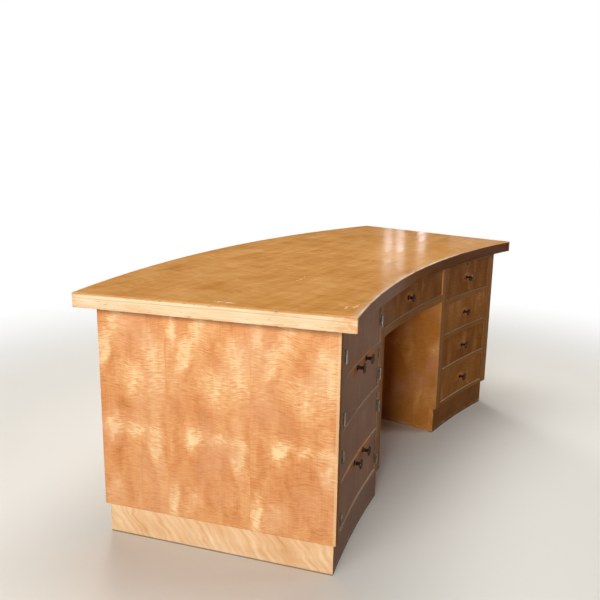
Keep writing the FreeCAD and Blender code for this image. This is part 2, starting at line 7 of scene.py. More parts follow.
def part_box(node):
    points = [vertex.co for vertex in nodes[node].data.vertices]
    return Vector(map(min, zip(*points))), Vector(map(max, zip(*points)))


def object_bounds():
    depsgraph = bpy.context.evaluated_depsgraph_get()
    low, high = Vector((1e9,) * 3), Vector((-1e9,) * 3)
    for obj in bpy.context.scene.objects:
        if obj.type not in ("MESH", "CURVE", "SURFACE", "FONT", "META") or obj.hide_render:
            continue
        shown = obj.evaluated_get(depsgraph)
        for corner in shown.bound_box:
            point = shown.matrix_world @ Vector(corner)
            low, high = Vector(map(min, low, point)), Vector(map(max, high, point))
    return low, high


# A curved pedestal desk in figured veneer, dressed around its CAD frame, in metres and radians.
# The user sits on the -Y side, in the hollow of the curve. +X is to the user's right, +Z is up.
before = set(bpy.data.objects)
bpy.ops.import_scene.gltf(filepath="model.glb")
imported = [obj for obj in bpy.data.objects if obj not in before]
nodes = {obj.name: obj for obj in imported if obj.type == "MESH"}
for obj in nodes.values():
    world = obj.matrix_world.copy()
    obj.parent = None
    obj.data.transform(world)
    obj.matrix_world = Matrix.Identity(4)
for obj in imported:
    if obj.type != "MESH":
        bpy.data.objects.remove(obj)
cad_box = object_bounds()

# Plan of the desk
CURVE_RADIUS = 3.25
TOP_DEPTH = 0.828
TOP_THICKNESS = 0.042
FRONT_OVERHANG = 0.048
BACK_OVERHANG = 0.050
END_ANGLE = math.radians(13.4)
KNEE_ANGLE = math.radians(5.1)
FRAME_RADIUS = CURVE_RADIUS + FRONT_OVERHANG
BACK_RADIUS = CURVE_RADIUS + TOP_DEPTH
BODY_DEPTH = TOP_DEPTH - FRONT_OVERHANG - BACK_OVERHANG
DESK_HEIGHT = cad_box[1].z
UNDERSIDE = DESK_HEIGHT - TOP_THICKNESS
CENTRE_Y = cad_box[1].y - BACK_RADIUS

# Camera, fitted to the photograph
PICTURE_WIDTH = 600
SENSOR_WIDTH = 36
FOCAL_PIXELS = 650.47
VIEW_CENTRE = (291.05, 283.15)
YAW = 1.0378
PITCH = 0.2035
ROLL = 0.0132
EYE = Vector((-2.17157, -1.08759, 1.14133))

# Lamps: name, place, target, size, level, and whether one shows only in reflections
LAMPS = (
    ("key", (-7.2, 1.0, 3.0), (-0.7, 0, 0.5), (3.5, 2.5), 0.37, False),
    ("overhead", (0.3, 0.3, 3.6), (0, 0, 0.75), (2.4, 1.6), 1.04, False),
    ("fill", (2.2, -3.8, 2.0), (0, -0.3, 0.4), (1.6, 1.2), 0.20, False),
    ("side", (-4.4, -1.25, 1.3), (0, -0.3, 0.4), (1.0, 1.0), 0.50, False),
    ("back", (4.5, 5.0, 2.6), (0, 0.3, 0.4), (2.5, 1.8), 0.40, False),
    ("left_glint", (-2.6, -4.2, 0.40), (0, -0.4, 0.4), (0.7, 0.6), 0.30, True),
    ("right_glint", (2.75, -1.8, 0.58), (0, -0.45, 0.45), (0.2, 0.3), 0.02, True),
    ("sheen", (3.63, 0.43, 1.135), (0.76, -0.33, 0.75), (0.45, 0.2), 0.0012, True),
)

# Narrow bright windows that the top mirrors: each one's place, and the point on the top that mirrors it
WINDOW_SIZE = (0.06, 0.22)
WINDOW_LEVEL = 0.0014
WINDOWS = (
    ((2.946, 0.981, 1.204), (0.197, -0.130, 0.75)),
    ((3.070, 0.923, 1.189), (0.299, -0.140, 0.75)),
    ((3.557, 0.904, 1.127), (0.746, -0.073, 0.75)),
)

# World: its light, and its reflection, dim up to one height of the sky and white from another
AMBIENT_LEVEL = 0.08
HORIZON_LEVEL = 0.06
HORIZON_HEIGHTS = (0.30, 0.85)

# Floor, which goes over into the white behind it between two distances from the middle of the desk
FLOOR_RADIUS = 14
FLOOR_SIDES = 96
FLOOR_FADE = (1.3, 3.0)

# Veneer leaves of the panels, laid side by side with the same figure in each
LEAF_WIDTH = 0.25
LEAF_DEPTH = 0.1  # size of the figure's noise through a leaf
LEAF_CHANGE = 0.2  # how far the figure departs from one leaf to the next, 1 being a full noise size
BACK_CHANGE = 2.7
END_SEAM = 0.494  # a seam's distance behind the face frame
KNEE_SEAM = 0.60
FRONT_SEAM = 0.12  # a seam's distance along the front curve
LIPPING_SEAM = 0.013  # depth of the glue line in the end lippings
EDGE_STRIP = 0.009

# Figure of a leaf: distance from its back seam, height, half width, half height, lean, and how pale
SPOT_REACH = 1.7  # a spot fades out at this multiple of its half sizes
PLAIN_RIPPLE = 0.34  # ripple where a leaf has no pale figure
CREASE_TONE = -0.20
LEAF_FIGURE = (
    (0.020, 0.655, 0.013, 0.070, 0.10, 0.50),
    (0.062, 0.590, 0.020, 0.095, 0.36, 0.48),
    (0.110, 0.655, 0.030, 0.040, 0.00, 0.20),
    (0.214, 0.575, 0.026, 0.075, -0.10, 0.46),
    (0.165, 0.505, 0.070, 0.055, 0.00, 0.26),
    (0.090, 0.450, 0.075, 0.060, 0.00, -0.16),
    (0.084, 0.362, 0.024, 0.036, 0.30, 0.58),
    (0.150, 0.354, 0.080, 0.014, 0.00, 0.28),
    (0.222, 0.325, 0.018, 0.080, 0.00, 0.34),
    (0.075, 0.275, 0.080, 0.065, 0.00, -0.12),
    (0.018, 0.150, 0.016, 0.055, 0.15, 0.50),
    (0.062, 0.150, 0.022, 0.040, 0.10, 0.22),
    (0.150, 0.210, 0.050, 0.080, 0.00, -0.08),
)

# Scratches and rubs on the top: middle, turn from +X, half length, half width, and bend
STROKE_CORE = 0.3  # share of the half width that is at full strength
STROKE_BODY = 0.6  # share of the half length that is at full strength
SCRATCHES = (
    (-0.476, -0.120, 0.02, 0.065, 0.0026, 4.7),
    (-0.300, -0.117, -0.52, 0.022, 0.0026, 0.0),
    (-0.692, -0.411, 0.00, 0.030, 0.0070, 0.0),
    (-0.720, -0.395, 0.30, 0.018, 0.0060, 0.0),
    (-0.846, -0.105, 1.80, 0.040, 0.0070, 0.0),
)

# How far the finish is worn round the knobs, along each axis
DOOR_WEAR = (0.130, 0.060, 0.036)
DRAWER_WEAR = (0.060, 0.040, 0.030)
WEAR_FADE = (0.0, 0.6)

# Where marks and painted shade start and where they are full, as heights above the floor
SCUFF_HEIGHTS = (0.022, 0.002)
DIRT_HEIGHTS = (0.006, 0.002)
# painted shade under the overhang of the top
UNDER_TOP_SHADE_HEIGHTS = (UNDERSIDE - 0.030, UNDERSIDE - 0.012)

# The same as depths below the surface of the top
SKIN_DEPTHS = (0.0028, 0.0018)
ARRIS_DEPTHS = (0.004, 0.0015)
GLUE_DEPTHS = (0.0055, 0.0035)
STAIN_DEPTHS = (0.014, 0.036)

# The same as distances from an arris of the top, from the lipping's seam and from the edge of a panel
NICK_REACH = (0.009, 0.003)
SEAM_REACH = (0.0016, 0.0006)
STRIP_REACH = (EDGE_STRIP, EDGE_STRIP * 0.8)

# The same as distances from the centre of the front curve
ARRIS_RADII = (CURVE_RADIUS + 0.005, CURVE_RADIUS + 0.002)
# the pale front stripe on the top: rubbing and a painted highlight
HIGHLIGHT_BAND_RADII = (CURVE_RADIUS + 0.026, CURVE_RADIUS)
FRONT_CORNER_RADII = (CURVE_RADIUS + 0.09, CURVE_RADIUS + 0.01)
BACK_CORNER_RADII = (BACK_RADIUS - 0.07, BACK_RADIUS - 0.01)
BACK_EDGE_RADII = (CURVE_RADIUS + 0.2, CURVE_RADIUS + 0.3)

# The same as distances along the front curve, from the middle of the desk to the right
# the pale front stripe and arris: rubbing and a painted highlight; the greyer left side: fading and a
# painted sheen
HIGHLIGHT_BAND_RUN = (0.45, -0.1)
RUB_HIGHLIGHT_RUN = (0.75, 0.0)
FADED_SHEEN_RUN = (-0.1, -0.45)
DARK_RUN = (-0.2, 0.7)
CHESTNUT_RUN = (-0.35, 0.35)

# Noise of each finish: its size in metres in each direction, its strength and its detail
LEAF_SLOPE = ((0.12, 0.22, LEAF_DEPTH), 0.055, 2.0)
LEAF_CLOUDS = ((0.045, 0.110, LEAF_DEPTH), 1.0, 5.0)
LEAF_RIPPLE = ((0.024, 0.0028, LEAF_DEPTH), 2.2, 1.5)
LEAF_LINES = ((0.0022, 0.12, LEAF_DEPTH), 0.26, 2.0)
STRIP_STREAKS = ((0.002, 0.002, 0.08), 0.5, 2.0)
TOP_STREAKS = ((0.36, 0.030, 1), 0.7, 4.0)
TOP_CLOUDS = ((0.11, 0.13, 1), 0.8, 5.0)
TOP_RIPPLE = ((0.016, 0.080, 1), 0.7, 3.0)
TOP_LINES = ((0.12, 0.0018, 1), 0.35, 2.0)
TOP_POLISH = ((0.20, 0.05, 1), 0.30, 4.0)
END_STREAKS = ((0.16, 0.012, 0.0035), 0.8, 4.0)
END_CLOUDS = ((0.14, 0.05, 0.03), 1.0, 3.0)
SEAM_DRIFT = ((0.20, 0.05, 1), 0.006, 2.0)
LONG_STREAKS = ((0.16, 0.012, 0.0035), 1.0, 4.0)
LONG_CLOUDS = ((0.09, 0.05, 0.03), 0.8, 3.0)
STILE_GRAIN = (((0.004, 0.004, 0.25), 0.7, 3.0), ((0.05, 0.05, 0.12), 0.5, 2.0))
RAIL_GRAIN = (((0.25, 0.004, 0.004), 0.7, 3.0), ((0.12, 0.05, 0.05), 0.5, 2.0))
PLINTH_WANDER = ((0.09, 0.05, 1), 0.035, 2.0)
PLINTH_RIPPLE = ((0.012, 0.11, 1), 1.2, 2.0)
PLINTH_CLOUDS = ((0.12, 0.07, 1), 0.7, 3.0)
PLINTH_LINES = ((0.15, 0.0016, 1), 0.2, 2.0)
INNER_STREAKS = ((0.006, 0.30, 0.006), 0.6, 3.0)
INNER_CLOUDS = ((0.10, 0.30, 0.08), 0.5, 2.0)
INNER_PORES = ((0.0012, 0.03, 0.0012), 0.25, 1.0)
FLOOR_MOTTLE = ((0.5, 0.5, 1), 0.06, 3.0)
PLINTH_SLANT = -0.5  # how far the plinth's ripple leans for each metre up
NOISE_MIDDLE = 0.5

# Noise that pushes a figure about: its size in each direction, its detail and the reach of the push
LEAF_SWAY = ((0.035, 0.06, LEAF_DEPTH), 4.0, (0.05, 0.10, 0))
TOP_SWAY = ((0.16, 0.12, 1), 3.0, (0.14, 0.08, 0))

# Ragged patches: size of the noise in each direction, its detail, and where a patch starts and is full
LEAF_CREASES = ((0.036, 0.0042, LEAF_DEPTH), 2.0, 0.42, 0.32)
PINK_PATCHES = ((0.16, 0.20, 1), 3.0, 0.40, 0.66)
SCUFF_PATCHES = ((0.05, 0.006, 1), 4.0, 0.42, 0.72)
SCRATCH_PATCHES = ((0.010, 0.014, 1), 3.0, 0.36, 0.62)
HIGHLIGHT_BAND_PATCHES = ((0.050, 0.008, 1), 3.0, 0.25, 0.65)
STAIN_PATCHES = ((0.10, 0.05, 0.012), 3.0, 0.38, 0.66)
MARK_PATCHES = ((0.030, 0.010, 0.0022), 3.0, 0.63, 0.72)
CORNER_PATCHES = ((0.02, 0.02, 0.008), 3.0, 0.35, 0.60)
NICK_PATCHES = ((0.014, 0.010, 0.006), 2.0, 0.61, 0.72)
RUB_HIGHLIGHT_PATCHES = ((0.10, 0.05, 0.05), 3.0, 0.30, 0.60)
WEAR_PATCHES = ((0.012, 0.012, 0.012), 3.0, 0.28, 0.56)

# Tarnish of the metals: size of the noise in each direction, and its values where it starts and is full
TARNISH_DETAIL = 4.0
DARK_TARNISH = ((0.006, 0.006, 0.006), (0.4, 0.75))
STEEL_TARNISH = ((0.004, 0.004, 0.012), (0.35, 0.75))

# How far along its tones each finish lies, from dark at 0 to pale at 1
PANEL_BASE = 0.48
# the kneehole's veneer is darker as painted shade
KNEE_SHADED_BASE = 0.40
STRIP_BASE = 0.5
TOP_BASE = 0.50
END_LIPPING_BASE = 0.73
FRONT_LIPPING_BASE = 0.36
BACK_LIPPING_BASE = 0.55
FRAME_BASE = 0.48
PLINTH_BASE = 0.58
PLINTH_KNEE_SHADED_BASE = 0.43
PLINTH_FRONT_BASE = 0.24
INNER_BASE = 0.5
DOOR_BASE = 0.45
DRAWER_BASES = {
    "drawer_1": 0.24,
    "drawer_2": 0.57,
    "drawer_3": 0.32,
    "drawer_4": 0.53,
    "centre_drawer": 0.26,
}

# Roughness that follows the figure: its level, and the share of the figure that is added
PANEL_ROUGHNESS = (0.42, 0.25)
FRONT_ROUGHNESS = (0.44, 0.2)
TOP_ROUGHNESS = (0.20, 0.1)
DARK_ROUGHNESS = (0.12, 0.18)
STEEL_ROUGHNESS = (0.22, 0.3)

# Depth of the relief, where a negative one is cut in
GRAIN_DEPTH = 0.0002
METAL_DEPTH = 0.0001
SCRATCH_DEPTH = -0.00003
BUMP_STRENGTH = 0.6

# Cosines between which a surface starts to face a direction, and between which an arris starts to turn
FACING = (0.4, 0.8)
ARRIS_TURN = (0.02, 0.22)
ARRIS_DOWN = (-0.05, -0.25)
ARRIS_SAMPLES = 4

# Colours of each finish, from dark to pale, as linear red, green and blue
PANEL_TONES = ((0.48, 0.165, 0.045), (0.68, 0.285, 0.100), (0.80, 0.420, 0.180), (0.92, 0.670, 0.360))
# the kneehole's tones are darker as painted shade
KNEE_SHADED_TONES = ((0.36, 0.110, 0.012), (0.54, 0.195, 0.032), (0.70, 0.310, 0.076), (0.86, 0.500, 0.200))
TOP_TONES = ((0.42, 0.150, 0.018), (0.59, 0.250, 0.048), (0.70, 0.335, 0.090), (0.80, 0.450, 0.165))
FRONT_TONES = ((0.16, 0.048, 0.007), (0.25, 0.089, 0.017), (0.34, 0.138, 0.034), (0.47, 0.225, 0.074))
FRAME_TONES = ((0.15, 0.052, 0.012), (0.24, 0.095, 0.025), (0.33, 0.148, 0.046), (0.46, 0.240, 0.090))
LIPPING_TONES = ((0.56, 0.300, 0.120), (0.74, 0.510, 0.265), (0.83, 0.640, 0.390), (0.90, 0.750, 0.520))
PLINTH_TONES = ((0.60, 0.290, 0.120), (0.74, 0.420, 0.200), (0.84, 0.550, 0.300), (0.93, 0.720, 0.470))
INNER_TONES = ((0.42, 0.270, 0.140), (0.54, 0.370, 0.210), (0.62, 0.450, 0.270), (0.70, 0.530, 0.340))

# Single colours, with their alpha: wear, dirt and stains, painted highlights, sheen and shade, the
# metals, the floor and the background
PINK_TONE = (0.72, 0.360, 0.195, 1)
WORN_TONE = (0.58, 0.220, 0.070, 1)
# pale arrises: partly wear, partly a painted highlight
WORN_EDGE_AND_HIGHLIGHT_TONE = (0.62, 0.430, 0.290, 1)
# dirt at the floor, and painted shade under the top and on arrises that face downwards
GRIME_AND_SHADE_TONE = (0.050, 0.022, 0.010, 1)
# painted highlight on the faces of the rails that look up
LIT_LEDGE_TONE = (0.78, 0.560, 0.370, 1)
# pale rubbing along the top's front edge and arris, partly a painted highlight
RUB_AND_HIGHLIGHT_TONE = (0.86, 0.740, 0.600, 1)
# greyer left pedestal: partly fading, partly a painted greyish sheen
FADED_SHEEN_TONE = (0.41, 0.300, 0.270, 1)
CHESTNUT_TONE = (0.115, 0.029, 0.002, 1)
MARK_TONE = (0.42, 0.190, 0.070, 1)
NICK_TONE = (0.26, 0.120, 0.045, 1)
SCUFF_TONE = (0.74, 0.620, 0.500, 1)
STAIN_TONE = (0.84, 0.500, 0.260, 1)
CORNER_TONE = (0.78, 0.330, 0.110, 1)
SCRATCH_TONE = (0.88, 0.640, 0.400, 1)
DARK_TONES = ((0.065, 0.054, 0.048, 1), (0.17, 0.105, 0.070, 1))
STEEL_TONES = ((0.50, 0.48, 0.45, 1), (0.15, 0.12, 0.09, 1))
FLOOR_TONES = ((0.76, 0.73, 0.66, 1), (0.86, 0.83, 0.77, 1))
FLOOR_BOUNCE_TONE = (0.30, 0.20, 0.11, 1)
WHITE = (1, 1, 1, 1)


class Nodes:
    """Short calls that add nodes to one tree."""

    def __init__(self, tree):
        self.tree = tree

    def feed(self, socket, value):
        """Links a socket to another node's output, or sets it to a number, vector or colour."""
        if isinstance(value, bpy.types.NodeSocket):
            self.tree.links.new(value, socket)
        else:
            socket.default_value = value

    def add(self, kind, inputs=(), **settings):
        node = self.tree.nodes.new("ShaderNode" + kind)
        for name, value in settings.items():
            setattr(node, name, value)
        for socket, value in zip(node.inputs, inputs):
            self.feed(socket, value)
        return node

    def math(self, operation, *values):
        return self.add("Math", values, operation=operation).outputs[0]

    def vector(self, operation, *values):
        node = self.add("VectorMath", values, operation=operation)
        return node.outputs["Value" if operation in ("DOT_PRODUCT", "DISTANCE", "LENGTH") else "Vector"]

    def joined(self, x, y, z):
        return self.add("CombineXYZ", (x, y, z)).outputs[0]

    def split(self, point):
        return self.add("SeparateXYZ", (point,)).outputs[:]

    def times(self, value, factor):
        return self.math("MULTIPLY", value, factor)

    def total(self, *values):
        result = values[0]
        for value in values[1:]:
            result = self.math("ADD", result, value)
        return result

    def uneven(self, level, share, value):
        """A level with a share of a value added."""
        return self.math("ADD", level, self.times(value, share))

    def ramp(self, value, start, end, low=0.0, high=1.0, shape="LINEAR"):
        """A result that goes from low, where the value is at its start, to high at its end."""
        return self.add("MapRange", (value, start, end, low, high), interpolation_type=shape).outputs[0]

    def fade(self, value, start, end):
        """0 at the start, 1 at the end, and smooth between."""
        return self.ramp(value, start, end, shape="SMOOTHSTEP")

    def noise(self, point, sizes, detail, output="Fac"):
        """Noise with its own size in metres in each direction."""
        node = self.add("TexNoise", (self.vector("DIVIDE", point, sizes),))
        node.inputs["Scale"].default_value = 1.0
        node.inputs["Detail"].default_value = detail
        return node.outputs[output]

    def streaks(self, point, sizes, strength, detail):
        """Noise about zero."""
        return self.times(self.math("SUBTRACT", self.noise(point, sizes, detail), NOISE_MIDDLE), strength)

    def patches(self, point, sizes, detail, start, end):
        """1 in ragged patches, and 0 between them."""
        return self.fade(self.noise(point, sizes, detail), start, end)

    def swayed(self, point, sizes, detail, reach):
        """A point that noise has pushed about."""
        push = self.vector("SUBTRACT", self.noise(point, sizes, detail, "Color"), (NOISE_MIDDLE,) * 3)
        return self.vector("ADD", point, self.vector("MULTIPLY", push, reach))

    def spot(self, point, centre, reach):
        """1 at a centre, fading to 0 at its reach in each direction."""
        scaled = self.vector("DIVIDE", point, reach)
        middle = tuple(c / r for c, r in zip(centre, reach))
        return self.fade(self.vector("DISTANCE", scaled, middle), 1.0, 0.0)

    def stroke(self, point, x, y, turn, half_length, half_width, bend):
        """1 along a short line in plan that may bend, and 0 away from it."""
        moved = self.vector("SUBTRACT", point, (x, y, 0))
        along = self.vector("DOT_PRODUCT", moved, (math.cos(turn), math.sin(turn), 0))
        across = self.vector("DOT_PRODUCT", moved, (-math.sin(turn), math.cos(turn), 0))
        curve = self.times(self.times(along, along), bend)
        off = self.math("ABSOLUTE", self.math("SUBTRACT", across, curve))
        thin = self.fade(off, half_width, half_width * STROKE_CORE)
        short = self.fade(self.math("ABSOLUTE", along), half_length, half_length * STROKE_BODY)
        return self.times(thin, short)

    def mix(self, share, first, second):
        node = self.add("Mix", data_type="RGBA")
        self.feed(node.inputs[0], share)
        self.feed(node.inputs[6], first)
        self.feed(node.inputs[7], second)
        return node.outputs[2]

    def tinted(self, colour, tone, where, amount):
        """A colour that goes over to a tone in some places, by an amount of up to 1."""
        return self.mix(self.times(where, amount), colour, tone)

    def tones(self, value, tones):
        """A colour from dark to pale."""
        node = self.add("ValToRGB", (value,))
        stops = node.color_ramp.elements
        while len(stops) < len(tones):
            stops.new(0.5)
        for index, tone in enumerate(tones):
            stops[index].position = index / (len(tones) - 1)
            stops[index].color = (*tone, 1)
        return node.outputs["Color"]


class Shades(Nodes):
    """The nodes of one material, with the directions of the desk."""

    def __init__(self, name):
        self.material = bpy.data.materials.new(name)
        self.material.use_nodes = True
        super().__init__(self.material.node_tree)
        self.surface = self.tree.nodes["Principled BSDF"]

    def here(self):
        """Object coordinates, which are the desk's own at rest and move with a door or drawer."""
        return self.add("TexCoord").outputs["Object"]

    def place(self):
        """The same, measured from the centre of the front curve."""
        return self.vector("SUBTRACT", self.here(), (0, CENTRE_Y, 0))

    def straight(self, angle):
        """Distance along a straight side, across it, and height. The right half mirrors the left."""
        place = self.vector("ABSOLUTE", self.place())
        along = self.vector("DOT_PRODUCT", place, (math.sin(angle), math.cos(angle), 0))
        across = self.vector("DOT_PRODUCT", place, (math.cos(angle), -math.sin(angle), 0))
        return along, across, self.split(place)[2]

    def curved(self):
        """Distance along the curve, distance from its centre, and height."""
        x, y, z = self.split(self.place())
        arc = self.times(self.math("ARCTAN2", x, y), CURVE_RADIUS)
        radius = self.vector("LENGTH", self.joined(x, y, 0.0))
        return arc, radius, z

    def facing(self, direction):
        """1 where a surface faces a direction in the desk at rest, also once its body has moved."""
        normal = self.add("TexCoord").outputs["Normal"]
        return self.fade(self.vector("DOT_PRODUCT", normal, direction), *FACING)

    def facing_out(self, sign):
        """1 where a surface faces away from the front curve's centre, or towards it with the sign -1."""
        flat = self.vector("MULTIPLY", self.place(), (sign, sign, 0))
        return self.facing(self.vector("NORMALIZE", flat))

    def facing_user(self):
        return self.facing_out(-1)

    def facing_inside(self):
        """1 on the inside of a door or drawer front."""
        return self.facing_out(1)

    def facing_end(self, sign=1):
        """1 where a surface faces its own end of the desk, or the kneehole with the sign -1."""
        x, y, _ = self.split(self.place())
        side = self.math("SIGN", x)
        outward = self.joined(self.times(y, side), self.times(self.times(x, side), -1.0), 0.0)
        normal = self.add("NewGeometry").outputs["Normal"]
        cosine = self.vector("DOT_PRODUCT", normal, self.vector("NORMALIZE", outward))
        start, end = FACING
        return self.fade(cosine, sign * start, sign * end)

    def edges(self, colour, radius, wear, painted_shade):
        """A colour with the arrises of a board pale, partly wear and partly a painted highlight, and with
        painted shade on those that face downwards.
        """
        rounded = self.add("Bevel", (radius,), samples=ARRIS_SAMPLES).outputs[0]
        normal = self.add("NewGeometry").outputs["Normal"]
        turn = self.math("SUBTRACT", 1.0, self.vector("DOT_PRODUCT", rounded, normal))
        turn = self.fade(turn, *ARRIS_TURN)
        # painted shade on arrises that face downwards; other arrises pale, partly wear and partly a
        # painted highlight
        shaded_down = self.times(turn, self.fade(self.split(rounded)[2], *ARRIS_DOWN))
        colour = self.tinted(colour, WORN_EDGE_AND_HIGHLIGHT_TONE, self.math("SUBTRACT", turn, shaded_down), wear)
        return self.tinted(colour, GRIME_AND_SHADE_TONE, shaded_down, painted_shade)

    def finish(self, colour, roughness, height=None, depth=GRAIN_DEPTH, gloss=0.3):
        """Feeds the surface. Gives back the material."""
        self.feed(self.surface.inputs["Base Color"], colour)
        self.feed(self.surface.inputs["Roughness"], roughness)
        self.surface.inputs["Specular IOR Level"].default_value = gloss
        if height is not None:
            bump = self.add("Bump")
            bump.inputs["Strength"].default_value = BUMP_STRENGTH
            bump.inputs["Distance"].default_value = depth
            self.feed(bump.inputs["Height"], height)
            self.feed(self.surface.inputs["Normal"], bump.outputs[0])
        return self.material


def leaf_colour(shades, across, height, seam, contrast=1.0, base=PANEL_BASE, tones=PANEL_TONES,
                change=LEAF_CHANGE):
    """Colour and ripple of figured veneer in leaves, from the distance along a panel and the height."""
    turn = shades.math("DIVIDE", shades.math("SUBTRACT", seam, across), LEAF_WIDTH)
    leaf = shades.math("FLOOR", turn)
    inside = shades.times(shades.math("FRACT", turn), LEAF_WIDTH)
    flat = shades.joined(inside, height, shades.times(leaf, change * LEAF_DEPTH))
    swayed = shades.swayed(flat, *LEAF_SWAY)
    slope = shades.streaks(flat, *LEAF_SLOPE)
    rippled = shades.vector("ADD", flat, shades.joined(0.0, slope, 0.0))
    across_leaf, up_leaf, _ = shades.split(swayed)
    spots = []
    for distance, level, half_width, half_height, lean, pale in LEAF_FIGURE:
        upright = shades.total(across_leaf, shades.times(up_leaf, -lean), lean * level)
        leaned = shades.joined(upright, up_leaf, 0.0)
        reach = (half_width * SPOT_REACH, half_height * SPOT_REACH, 1)
        spots.append(shades.times(shades.spot(leaned, (distance, level, 0), reach), pale))
    figure = shades.total(*spots)
    clouds = shades.streaks(swayed, *LEAF_CLOUDS)
    ripple = shades.streaks(rippled, *LEAF_RIPPLE)
    ripple = shades.times(ripple, shades.math("ADD", PLAIN_RIPPLE, figure))
    lines = shades.streaks(flat, *LEAF_LINES)
    creases = shades.times(shades.patches(rippled, *LEAF_CREASES), CREASE_TONE)
    tone = shades.times(shades.total(figure, clouds, ripple, lines, creases), contrast)
    return shades.tones(shades.math("ADD", tone, base), tones), ripple


def side_colour(shades, angle, seam, strip_share, **look):
    """Colour, edge tone and ripple of a straight side, with a pale strip on its front and back edges."""
    along, across, height = shades.straight(angle)
    behind = shades.math("SUBTRACT", along, FRAME_RADIUS)
    colour, ripple = leaf_colour(shades, behind, height, seam, **look)
    pink = shades.patches(shades.joined(behind, height, 0.0), *PINK_PATCHES)
    colour = shades.tinted(colour, PINK_TONE, pink, amount=0.40)
    from_edge = shades.math("MINIMUM", behind, shades.math("SUBTRACT", BODY_DEPTH, behind))
    strip = shades.fade(from_edge, *STRIP_REACH)
    streaks = shades.streaks(shades.joined(along, across, height), *STRIP_STREAKS)
    edge_tone = shades.math("ADD", streaks, STRIP_BASE)
    colour = shades.tinted(colour, shades.tones(edge_tone, LIPPING_TONES), strip, strip_share)
    return colour, edge_tone, ripple


def scuffed(shades, colour, run, height):
    """A colour that is scuffed pale at the floor, from the distance along a board and the height."""
    scuff = shades.patches(shades.joined(run, height, 0.0), *SCUFF_PATCHES)
    low = shades.fade(height, *SCUFF_HEIGHTS)
    return shades.tinted(colour, SCUFF_TONE, shades.times(low, scuff), amount=0.7)


def painted_shade_under_top(shades, colour, height):
    """A colour with painted shade under the overhang of the top, darker towards the underside of the top.
    """
    return shades.tinted(colour, GRIME_AND_SHADE_TONE, shades.fade(height, *UNDER_TOP_SHADE_HEIGHTS), amount=0.5)


def faded_with_sheen(shades, colour, arc):
    """A brown that is greyer on the left pedestal, partly from fading and partly as a painted greyish
    sheen.
    """
    return shades.tinted(colour, FADED_SHEEN_TONE, shades.fade(arc, *FADED_SHEEN_RUN), amount=0.62)


def knob_wear(shades, colour, knobs, reach):
    """A colour that hands have worn round the knobs, out to a reach along each axis."""
    point = shades.here()
    spots = []
    for knob in knobs:
        low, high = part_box(knob)
        base = Vector(((low.x + high.x) / 2, high.y, (low.z + high.z) / 2))
        spots.append(shades.spot(point, base, reach))
    wear = shades.fade(shades.total(*spots), *WEAR_FADE)
    wear = shades.times(wear, shades.patches(point, *WEAR_PATCHES))
    return shades.tinted(colour, WORN_TONE, wear, amount=0.75)


def panel_veneer(name, angle, seam, strip_share, **look):
    """Figured veneer of a straight panel, brown on its front edge."""
    shades = Shades(name)
    colour, edge_tone, ripple = side_colour(shades, angle, seam, strip_share, **look)
    colour = shades.mix(shades.facing_user(), colour, shades.tones(edge_tone, FRAME_TONES))
    _, run, height = shades.split(shades.place())
    # pale scuffs at the floor, and painted shade under the overhang of the top
    colour = painted_shade_under_top(shades, scuffed(shades, colour, run, height), height)
    colour = shades.edges(colour, radius=0.003, wear=0.4, painted_shade=0.7)
    return shades.finish(colour, shades.uneven(*PANEL_ROUGHNESS, ripple), ripple)


def end_veneer():
    """Bright figured veneer of the two ends."""
    return panel_veneer("end_veneer", END_ANGLE, END_SEAM, strip_share=0.5)


def kneehole_veneer():
    """Quieter veneer of the kneehole's sides, darker as painted shade in the kneehole."""
    return panel_veneer("kneehole_veneer", KNEE_ANGLE, KNEE_SEAM, strip_share=0.1,
                        contrast=0.5, base=KNEE_SHADED_BASE, tones=KNEE_SHADED_TONES)


def back_veneer():
    """Figured veneer of the curved back. Its ends carry on the veneer of the end panels."""
    shades = Shades("back_veneer")
    arc, _, height = shades.curved()
    colour, ripple = leaf_colour(shades, arc, height, END_SEAM, contrast=0.85, change=BACK_CHANGE)
    side = side_colour(shades, END_ANGLE, END_SEAM, strip_share=0.5)[0]
    colour = shades.mix(shades.facing_end(), colour, side)
    # painted shade under the overhang of the top
    colour = painted_shade_under_top(shades, colour, height)
    return shades.finish(colour, shades.uneven(*PANEL_ROUGHNESS, ripple), ripple)


def top_colour(shades):
    """Colour of the top's honey-brown veneer, pale along the front from rubbing and a painted highlight,
    and its scratches.
    """
    point = shades.here()
    arc, radius, _ = shades.curved()
    swayed = shades.swayed(point, *TOP_SWAY)
    streaks = shades.streaks(swayed, *TOP_STREAKS)
    clouds = shades.streaks(point, *TOP_CLOUDS)
    ripple = shades.streaks(swayed, *TOP_RIPPLE)
    lines = shades.streaks(point, *TOP_LINES)
    colour = shades.tones(shades.total(TOP_BASE, streaks, clouds, ripple, lines), TOP_TONES)
    strokes = [shades.stroke(point, *scratch) for scratch in SCRATCHES]
    scratched = shades.times(shades.total(*strokes), shades.patches(point, *SCRATCH_PATCHES))
    colour = shades.tinted(colour, SCRATCH_TONE, scratched, amount=0.45)
    # pale stripe along the front edge: partly rubbing, partly a painted highlight
    highlight_band = shades.times(shades.fade(radius, *HIGHLIGHT_BAND_RADII), shades.fade(arc, *HIGHLIGHT_BAND_RUN))
    highlight_band = shades.times(highlight_band, shades.patches(point, *HIGHLIGHT_BAND_PATCHES))
    return shades.tinted(colour, RUB_AND_HIGHLIGHT_TONE, highlight_band, amount=0.4), scratched


def top_veneer():
    """Veneer of the top, with an uneven polish."""
    shades = Shades("top_veneer")
    colour, scratched = top_colour(shades)
    polish = shades.streaks(shades.here(), *TOP_POLISH)
    roughness = shades.math("ADD", shades.uneven(*TOP_ROUGHNESS, scratched), polish)
    return shades.finish(colour, roughness, scratched, depth=SCRATCH_DEPTH, gloss=0.20)


def under_veneer(shades, colour, below):
    """An edge strip's colour, with the veneer of the top laid over it."""
    return shades.mix(shades.fade(below, *SKIN_DEPTHS), colour, top_colour(shades)[0])


